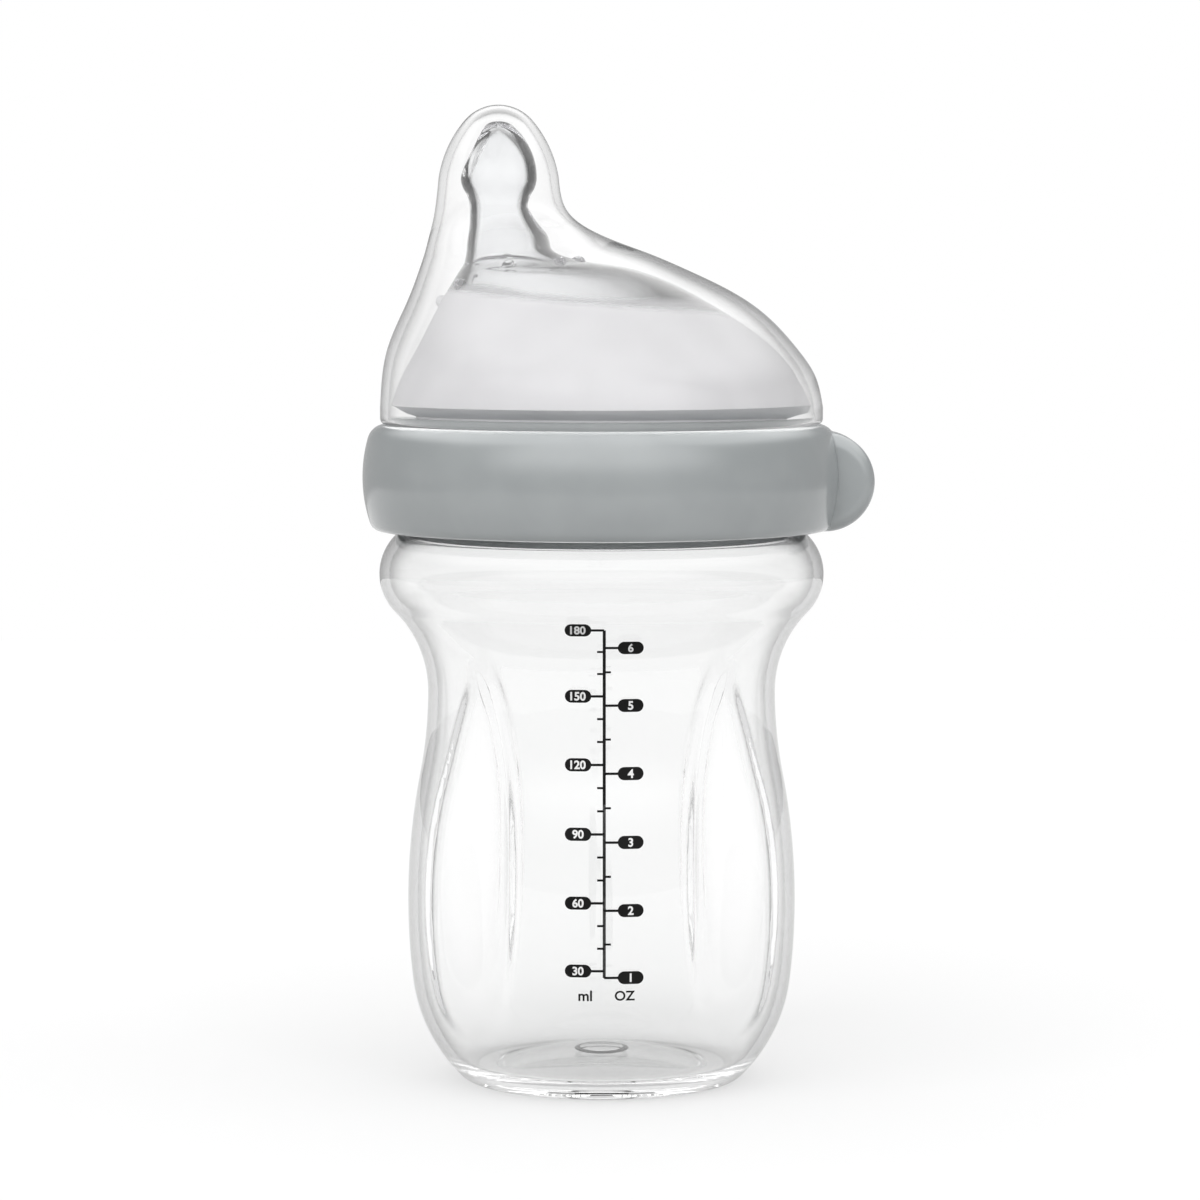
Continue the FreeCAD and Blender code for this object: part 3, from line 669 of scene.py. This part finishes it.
def silicone():
    """Clear on the teat and matt on the dome, with a slightly uneven line between them."""
    material, start, place = blank_material("silicone")
    apart = start.node("ShaderNodeSeparateXYZ", None, None, place)
    x, z = Wire(start.tree, apart.socket), Wire(start.tree, apart.socket.node.outputs[2])
    line = FROST_Z - FROST_FALL * (x - FROST_X) + (wear(place, 90.0) - 0.5) * FROST_WANDER
    frost = (line - z).ramp(*FROST_SOFT)
    grain = start.node("ShaderNodeBump", None, None, Strength=0.12, Distance=0.0001,
                       Height=wear(place, 2600.0))
    # painted shade: the clear teat turns near black at its rims, which draws its dark outlines
    tone = painted_rim_shade(start, (0.94, 0.945, 0.95, 1), (0.004, 0.005, 0.008, 1), begin=0.5, kept=0.05)
    clear = start.node("ShaderNodeBsdfPrincipled", None, None, Base_Color=tone,
                       Roughness=wear(place, 300.0) * 0.04 + 0.01, IOR=SILICONE_IOR,
                       Transmission_Weight=1.0)
    cloud = wear(place, 120.0).ramp(0.3, 0.75)
    tone = blend_of(start, cloud, (0.75, 0.745, 0.76, 1), (0.79, 0.785, 0.80, 1))
    matt = start.node("ShaderNodeBsdfPrincipled", None, None, Base_Color=tone,
                      Roughness=cloud * 0.08 + 0.5, IOR=SILICONE_IOR, Subsurface_Weight=0.3,
                      Subsurface_Radius=(0.004, 0.004, 0.004), Subsurface_Scale=1.0, Normal=grain)
    both = start.node("ShaderNodeMixShader", None, None, frost, clear, matt)
    surface(material, let_light_out(start, both))
    return material


SILICONE = silicone()

# %% Grey collar, black and white print
CORNER = 0.0007     # rounding of the edges that a mould leaves


def moulded(name, low, high, gloss, grain, shine):
    """Opaque plastic: two close tones in soft clouds, a fine grain and softened corners."""
    material, start, place = blank_material(name)
    cloud = wear(place, 70.0).ramp(0.35, 0.7)
    tone = blend_of(start, cloud, low, high)
    corner = start.node("ShaderNodeBevel", {"samples": 6}, None, CORNER)
    bump = start.node("ShaderNodeBump", None, None, Strength=grain, Distance=0.0001,
                      Height=wear(place, 1800.0), Normal=corner)
    plastic = start.node("ShaderNodeBsdfPrincipled", None, None, Base_Color=tone,
                         Roughness=wear(place, 220.0) * 0.06 + gloss, IOR=PLASTIC_IOR,
                         Specular_IOR_Level=shine, Normal=bump)
    surface(material, plastic)
    return material


COLLAR_GREY = moulded("collar grey", (0.325, 0.345, 0.35, 1), (0.355, 0.375, 0.38, 1),
                      gloss=0.12, grain=0.03, shine=0.8)
PRINT_BLACK = moulded("print black", (0.006, 0.006, 0.006, 1), (0.010, 0.010, 0.010, 1),
                      gloss=0.4, grain=0.1, shine=0.1)
PRINT_WHITE = moulded("print white", (0.80, 0.80, 0.80, 1), (0.86, 0.86, 0.86, 1),
                      gloss=0.4, grain=0.1, shine=0.1)

# %% [markdown]
# ## Printed scale
# The scale is black ink with the digits left white in round-ended bars. A texture could carry it, but
# thin faces keep their edges crisp at any distance. Ticks repeat by a rule, so a small node tree makes
# each row of them. The print is drawn flat, in millimetres on the x-z plane, and then wrapped onto
# the body's front.

# %% A node tree for a row of ticks
def tick_tree():
    """Bars stacked upwards: count, spacing and size are the tree's own inputs."""
    tree = bpy.data.node_groups.new("row of ticks", "GeometryNodeTree")
    face = tree.interface
    face.new_socket("Geometry", in_out="OUTPUT", socket_type="NodeSocketGeometry")
    for word, kind in (("Count", "Int"), ("Spacing", "Float"), ("Width", "Float"), ("Height", "Float"),
                       ("Ink", "Material")):
        face.new_socket(word, in_out="INPUT", socket_type=f"NodeSocket{kind}")
    inputs = tree.nodes.new("NodeGroupInput")
    line = tree.nodes.new("GeometryNodeMeshLine")
    step = tree.nodes.new("ShaderNodeCombineXYZ")
    bar = tree.nodes.new("GeometryNodeMeshGrid")
    upright = tree.nodes.new("GeometryNodeTransform")
    upright.inputs["Rotation"].default_value = (math.pi / 2, 0, 0)
    bar.inputs["Vertices X"].default_value = 9
    bar.inputs["Vertices Y"].default_value = 3
    copies = tree.nodes.new("GeometryNodeInstanceOnPoints")
    real = tree.nodes.new("GeometryNodeRealizeInstances")
    ink = tree.nodes.new("GeometryNodeSetMaterial")
    outputs = tree.nodes.new("NodeGroupOutput")
    for source, target in (
            (inputs.outputs["Count"], line.inputs["Count"]),
            (inputs.outputs["Spacing"], step.inputs["Z"]),
            (step.outputs[0], line.inputs["Offset"]),
            (inputs.outputs["Width"], bar.inputs["Size X"]),
            (inputs.outputs["Height"], bar.inputs["Size Y"]),
            (bar.outputs[0], upright.inputs["Geometry"]),
            (line.outputs[0], copies.inputs["Points"]),
            (upright.outputs[0], copies.inputs["Instance"]),
            (copies.outputs[0], real.inputs[0]),
            (real.outputs[0], ink.inputs["Geometry"]),
            (inputs.outputs["Ink"], ink.inputs["Material"]),
            (ink.outputs[0], outputs.inputs[0])):
        tree.links.new(source, target)
    return tree


def from_tree(tree, name, **values):
    """The mesh that a node tree makes with these inputs."""
    piece = bpy.data.objects.new(name, bpy.data.meshes.new(name))
    bpy.context.scene.collection.objects.link(piece)
    change = piece.modifiers.new("rule", "NODES")
    change.node_group = tree
    for item in tree.interface.items_tree:
        if item.in_out == "INPUT" and item.name in values:
            change[item.identifier] = values[item.name]
    bpy.context.view_layer.update()
    mesh = bpy.data.meshes.new_from_object(piece.evaluated_get(bpy.context.evaluated_depsgraph_get()))
    bpy.data.objects.remove(piece)
    return mesh


TICKS = tick_tree()
print("row of ticks:", len(TICKS.nodes), "nodes")

# %% Flat shapes, wrapped onto the body
FRONT = np.array([(z, r) for r, z in OUTSIDE if r > FOOT_IN])


def wrapped(flat, lift):
    """Flat points (x, z) in millimetres, laid on the body's front and lifted off it a little."""
    flat = np.asarray(flat, float)
    radius = np.interp(flat[:, 1], FRONT[:, 0], FRONT[:, 1]) + lift
    return np.column_stack([flat[:, 0], -np.sqrt(radius**2 - flat[:, 0] ** 2), flat[:, 1]])


print("the front at 50 mm lies at", wrapped([(0, 50)], 0)[0].round(2), "mm")

# %% Bars and letters
def pill(x0, x1, z, high, count=10):
    """A filled bar with round ends, as rows of points across it."""
    half = high / 2
    spread = np.linspace(-1, 1, 2 * count + 1)
    xs = np.concatenate([x0 + half - half * np.cos(np.linspace(0, math.pi / 2, count)),
                         x1 - half + half * np.sin(np.linspace(0, math.pi / 2, count))])
    edge = half - np.minimum(np.minimum(xs - x0, x1 - xs), half)
    tall = np.sqrt(np.maximum(half**2 - edge**2, 0))
    points = [(x, z + t * s) for x, t in zip(xs, tall) for s in spread]
    wide = len(spread)
    faces = [(i * wide + j, (i + 1) * wide + j, (i + 1) * wide + j + 1, i * wide + j + 1)
             for i in range(len(xs) - 1) for j in range(wide - 1)]
    return points, faces


def lettering(words, x, z, high, bold):
    """Filled letters with their middle at x, z, as flat points and faces."""
    curve = bpy.data.curves.new("words", "FONT")
    curve.body = words
    curve.align_x, curve.align_y = "CENTER", "CENTER"
    curve.offset = bold
    curve.resolution_u = 6
    piece = bpy.data.objects.new("words", curve)
    bpy.context.scene.collection.objects.link(piece)
    bpy.context.view_layer.update()
    mesh = bpy.data.meshes.new_from_object(piece.evaluated_get(bpy.context.evaluated_depsgraph_get()))
    points = np.array([v.co[:2] for v in mesh.vertices])
    faces = [tuple(p.vertices) for p in mesh.polygons]
    bpy.data.objects.remove(piece)
    size = points.max(axis=0) - points.min(axis=0)
    points = (points - (points.max(axis=0) + points.min(axis=0)) / 2) * high / size[1] + (x, z)
    return points.tolist(), faces


print("a bar with round ends:", len(pill(0, 4, 0, 2)[1]), "faces")

# %% Shapes of one ink
class Print:
    """Flat shapes of one ink, gathered into one piece."""

    def __init__(self, ink):
        self.ink = ink
        self.points, self.faces = [], []

    def add(self, points, faces):
        start = len(self.points)
        self.points += list(points)
        self.faces += [tuple(start + i for i in face) for face in faces]

    def bars(self, x0, x1, z, spacing, count, high):
        mesh = from_tree(TICKS, "ticks", Count=count, Spacing=spacing, Width=x1 - x0, Height=high,
                         Ink=self.ink)
        self.add([((x0 + x1) / 2 + v.co.x, z + v.co.z) for v in mesh.vertices],
                 [tuple(p.vertices) for p in mesh.polygons])

    def piece(self, name, lift):
        mesh = bpy.data.meshes.new(name)
        mesh.from_pydata((wrapped(self.points, lift) * MM).tolist(), [], self.faces)
        form = bmesh.new()
        form.from_mesh(mesh)
        bmesh.ops.remove_doubles(form, verts=form.verts, dist=1e-6)
        form.normal_update()
        for face in form.faces:
            if face.normal.y > 0:
                face.normal_flip()
        form.to_mesh(mesh)
        form.free()
        mesh.materials.append(self.ink)
        made = bpy.data.objects.new(name, mesh)
        bpy.context.scene.collection.objects.link(made)
        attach(made, "bottle")
        print(name, len(mesh.vertices), "points")


# %% The scale itself
ML_LOW, ML_STEP = 22.8, 11.0     # height of the 30 ml mark, and rise for each 30 ml
OZ_LOW, OZ_STEP, OZ_TOP = 21.7, 10.9, 74.8
LINE_X, LINE, LINE_TOP, MIDDLE = 0.43, 0.5, 77.8, 0.4     # the upright line, and where the ticks meet it
ML_PILL, OZ_PILL, PILL_HIGH = (-5.9, -1.65), (2.6, 6.75), 2.1
LONG, SHORT = 0.4, 0.35          # height of the ticks that lead to a number, and of those between
ML_LONG, ML_SHORT, OZ_LONG, OZ_SHORT = -1.9, -0.72, 2.8, 1.5     # where they end
ML_DIGIT, OZ_DIGIT, DIGIT_HIGH, DIGIT_BOLD = -3.78, 4.68, 1.42, 0.03
WORD_Z, WORD_BOLD = 18.75, 0.022
MARKS = 6
black, white = Print(PRINT_BLACK), Print(PRINT_WHITE)
black.bars(LINE_X - LINE / 2, LINE_X + LINE / 2, (OZ_LOW + LINE_TOP) / 2, 1, 1, LINE_TOP - OZ_LOW)
for index in range(MARKS):
    ml_z = ML_LOW + index * ML_STEP
    oz_z = OZ_LOW + index * OZ_STEP if index < MARKS - 1 else OZ_TOP
    black.add(*pill(*ML_PILL, ml_z, PILL_HIGH))
    black.add(*pill(*OZ_PILL, oz_z, PILL_HIGH))
    white.add(*lettering(str(30 * (index + 1)), ML_DIGIT, ml_z, DIGIT_HIGH, DIGIT_BOLD))
    white.add(*lettering(str(index + 1), OZ_DIGIT, oz_z, DIGIT_HIGH, DIGIT_BOLD))
    black.bars(MIDDLE, OZ_LONG, oz_z, 1, 1, LONG)
black.bars(ML_LONG, MIDDLE, ML_LOW, ML_STEP, MARKS, LONG)
for part in (1, 2):
    black.bars(ML_SHORT, MIDDLE, ML_LOW + part * ML_STEP / 3, ML_STEP, MARKS - 1, SHORT)
black.bars(MIDDLE, OZ_SHORT, OZ_LOW + OZ_STEP / 2, OZ_STEP, MARKS - 1, SHORT)
black.add(*lettering("ml", -2.63, WORD_Z, high=1.75, bold=WORD_BOLD))
black.add(*lettering("OZ", 3.75, WORD_Z, high=1.65, bold=WORD_BOLD))
black.piece("scale_print", lift=0.03)
white.piece("scale_digits", lift=0.06)

# %% [markdown]
# ## Screw thread
# The neck carries a round ridge and the collar's bore another, on one helix with a lead of 6 mm.
# They are half a lead apart, so they slide past each other while the collar turns and climbs. A Screw
# modifier could turn each of them, but a node tree with named sizes sweeps a circle along a spiral
# for both, and closes the ends.

# %% A node tree for a ridge
def ridge_tree():
    """A closed round ridge on a right-hand helix that starts at its own height."""
    tree = bpy.data.node_groups.new("thread ridge", "GeometryNodeTree")
    face = tree.interface
    face.new_socket("Geometry", in_out="OUTPUT", socket_type="NodeSocketGeometry")
    for word, kind in (("Radius", "Float"), ("Thick", "Float"), ("Turns", "Float"), ("Lead", "Float"),
                       ("Place", "Vector"), ("Bearing", "Vector"), ("Finish", "Material")):
        face.new_socket(word, in_out="INPUT", socket_type=f"NodeSocket{kind}")
    inputs = tree.nodes.new("NodeGroupInput")
    climb = tree.nodes.new("ShaderNodeMath")
    climb.operation = "MULTIPLY"
    spiral = tree.nodes.new("GeometryNodeCurveSpiral")
    spiral.inputs["Resolution"].default_value = 96
    spiral.inputs["Reverse"].default_value = True
    around_it = tree.nodes.new("GeometryNodeCurvePrimitiveCircle")
    around_it.inputs["Resolution"].default_value = 14
    sweep = tree.nodes.new("GeometryNodeCurveToMesh")
    sweep.inputs["Fill Caps"].default_value = True
    move = tree.nodes.new("GeometryNodeTransform")
    real = tree.nodes.new("GeometryNodeRealizeInstances")
    finish = tree.nodes.new("GeometryNodeSetMaterial")
    outputs = tree.nodes.new("NodeGroupOutput")
    for source, target in (
            (inputs.outputs["Turns"], climb.inputs[0]),
            (inputs.outputs["Lead"], climb.inputs[1]),
            (climb.outputs[0], spiral.inputs["Height"]),
            (inputs.outputs["Turns"], spiral.inputs["Rotations"]),
            (inputs.outputs["Radius"], spiral.inputs["Start Radius"]),
            (inputs.outputs["Radius"], spiral.inputs["End Radius"]),
            (inputs.outputs["Thick"], around_it.inputs["Radius"]),
            (spiral.outputs[0], sweep.inputs["Curve"]),
            (around_it.outputs[0], sweep.inputs["Profile Curve"]),
            (sweep.outputs[0], move.inputs["Geometry"]),
            (inputs.outputs["Place"], move.inputs["Translation"]),
            (inputs.outputs["Bearing"], move.inputs["Rotation"]),
            (move.outputs[0], real.inputs[0]),
            (real.outputs[0], finish.inputs["Geometry"]),
            (inputs.outputs["Finish"], finish.inputs["Material"]),
            (finish.outputs[0], outputs.inputs[0])):
        tree.links.new(source, target)
    return tree


RIDGE = ridge_tree()
print("thread ridge:", len(RIDGE.nodes), "nodes")

# %% A ridge on the neck and one in the bore
LEAD, TURNS, RIDGE_THICK, RIDGE_LOW = 6.0, 1.1, 0.9, 95.0
RIDGE_OFF = 0.1     # from the wall to the middle of the ridge
for name, radius, bearing, body_name, slot, finish in (
        ("neck_thread", NECK_R + RIDGE_OFF, 0.0, "bottle", "clear_body", BODY_CLEAR),
        ("collar_thread", BORE_R - RIDGE_OFF, math.pi, "collar", "grey_collar", COLLAR_GREY)):
    mesh = from_tree(RIDGE, name, Radius=radius * MM, Thick=RIDGE_THICK * MM, Turns=TURNS, Lead=LEAD * MM,
                     Place=(0, 0, RIDGE_LOW * MM), Bearing=(0, 0, bearing), Finish=finish)
    ridge = finished(name, mesh, sharp=60)
    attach(ridge, body_name)
    points = np.array([v.co for v in ridge.data.vertices]) / MM
    print(name, "heights", np.round([points[:, 2].min(), points[:, 2].max()], 2), "mm")

# %% [markdown]
# ## Put the skins on the bodies
# Each skin replaces its packed node, rides on the body that node belongs to, and takes its finish. A
# parent could carry it too, but these calls also say which solid it stands for, and the gaps that
# are printed show how closely it follows that solid.

# %% Replace the packed nodes
for piece, node, body_name, slot, finish in (
        (body, "bottle_body", "bottle", "clear_body", BODY_CLEAR),
        (collar, "collar_ring", "collar", "grey_collar", COLLAR_GREY),
        (nipple, "nipple", "nipple", "silicone", SILICONE),
        (hood, "hood", "hood", "clear_hood", HOOD_CLEAR)):
    piece.data.materials.clear()
    piece.data.materials.append(finish)
    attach(piece, body_name)
    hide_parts(node)
    low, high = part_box(node)
    points = np.array([v.co for v in piece.data.vertices])
    print(piece.name, "leaves its node by", np.round((points.min(0) - low) / MM, 2),
          np.round((points.max(0) - high) / MM, 2), "mm")

# %% [markdown]
# ## Studio
# Clear things are drawn by what they bend into view and what they mirror. One room could serve for
# all rays, but then either the backdrop turns grey or the plastic loses its edges. So the room is
# white to the camera and through the plastic, and mirrored rays see a dimmer one with a soft box
# high in front.

# %% Camera
EYE, AIM_AT = np.array([-0.00025, -0.780, 0.137]), np.array([-0.00025, 0, 0.0802])
camera = bpy.data.objects.new("camera", bpy.data.cameras.new("camera"))
bpy.context.scene.collection.objects.link(camera)
camera.data.lens = 141
camera.data.sensor_width = 36
camera.data.clip_start = 0.01
camera.location = EYE
tilt = math.atan2((AIM_AT - EYE)[2], (AIM_AT - EYE)[1])
camera.rotation_euler = (math.pi / 2 + tilt, 0, 0)
bpy.context.scene.camera = camera
print("the camera looks", round(math.degrees(-tilt), 1), "degrees down")

# %% Floor, pale enough to pass into the backdrop
FLOOR_TONE, FLOOR_GLOW = 0.62, 0.27     # the glow is for camera, mirrored and bent rays alone
LEFT, RIGHT, FRONT_EDGE, BACK_EDGE = -0.9, 0.9, -0.7, 0.9
floor_mesh = bpy.data.meshes.new("floor")
corners = [(LEFT, FRONT_EDGE, 0), (RIGHT, FRONT_EDGE, 0), (RIGHT, BACK_EDGE, 0), (LEFT, BACK_EDGE, 0)]
floor_mesh.from_pydata(corners, [], [(0, 1, 2, 3)])
floor = bpy.data.objects.new("floor", floor_mesh)
bpy.context.scene.collection.objects.link(floor)
material, start, place = blank_material("pale floor")
tone = wear(place, 6.0) * 0.01 + FLOOR_TONE
pale = start.node("ShaderNodeCombineColor", None, None, tone, tone, tone)
plain = start.node("ShaderNodeBsdfDiffuse", None, None, pale)
kinds = start.node("ShaderNodeLightPath", None, "Is Camera Ray").socket.node.outputs
seen = Wire(start.tree, kinds["Is Camera Ray"]) + Wire(start.tree, kinds["Is Glossy Ray"])
glow = start.node("ShaderNodeEmission", None, None, WHITE, seen.sum("MINIMUM", 1) * FLOOR_GLOW)
surface(material, start.node("ShaderNodeAddShader", None, None, plain, glow))
floor_mesh.materials.append(material)

# %% Room, as each kind of ray sees it
BOX_LIGHT, WALL_LIGHT, LOW_LIGHT = 2.0, 0.22, 0.3     # soft box, walls and low side, for mirrored rays
FILL_LIGHT, FILL_ABOVE = 0.22, 0.55                   # for what lights matt surfaces
CEILING_LOSS = 0.5                                    # for rays that pass through something clear
world = bpy.data.worlds.new("room")
bpy.context.scene.world = world
world.use_nodes = True
tree = world.node_tree
tree.nodes.clear()
start = Wire(tree, None)
facing = start.node("ShaderNodeTexCoord", None, "Generated")
parts = start.node("ShaderNodeSeparateXYZ", None, None, facing)
above = Wire(tree, parts.socket.node.outputs[2])
camera_ray = start.node("ShaderNodeLightPath", None, "Is Camera Ray")
kinds = camera_ray.socket.node.outputs
through = Wire(tree, kinds["Is Transmission Ray"])
mirrored = Wire(tree, kinds["Is Glossy Ray"]) * (1 - through)
behind = 1 - above.ramp(0.25, 0.8) * CEILING_LOSS
front = (Wire(tree, parts.socket.node.outputs[1]) * -1).ramp(0.3, 0.8)
soft_box = above.ramp(0.3, 0.7).sum("MAXIMUM", front * above.ramp(0.05, 0.35))
room = soft_box * BOX_LIGHT + WALL_LIGHT + (1 - above.ramp(-0.05, 0.35)) * LOW_LIGHT
fill = above.ramp(-0.1, 0.9) * FILL_ABOVE + FILL_LIGHT
rest = through * behind + mirrored * room + (1 - through) * (1 - mirrored) * fill
level = camera_ray + (1 - camera_ray) * rest
backdrop = start.node("ShaderNodeBackground", None, None, WHITE, level)
out = tree.nodes.new("ShaderNodeOutputWorld")
tree.links.new(backdrop.socket, out.inputs["Surface"])
print("room:", len(tree.nodes), "nodes")

# %% Lamps
def lamp(name, turn, tilt, strength, spread):
    """A wide soft lamp far away: turn is its bearing from -Y, tilt its height, in degrees."""
    light = bpy.data.lights.new(name, "SUN")
    light.energy = strength
    light.angle = math.radians(spread)
    item = bpy.data.objects.new(name, light)
    item.rotation_euler = (math.radians(90 - tilt), 0, math.radians(turn))
    item.visible_glossy = False
    item.visible_transmission = False
    bpy.context.scene.collection.objects.link(item)
    print(name, "at", strength, "from", tilt, "degrees up")


lamp("key light", turn=-14, tilt=52, strength=2.0, spread=55)
lamp("fill light", turn=60, tilt=35, strength=0.3, spread=60)

# %% [markdown]
# ## Settings
# The view transform is plain, so that a colour renders as it is written. Light takes many turns to get
# through two clear shells, so the bounce limits are raised. Both boxes are kept so that the sizes can
# be compared.

# %% Render settings
bpy.context.scene.view_settings.view_transform = "Standard"
bpy.context.scene.cycles.max_bounces = 24
bpy.context.scene.cycles.glossy_bounces = 16
bpy.context.scene.cycles.transmission_bounces = 20
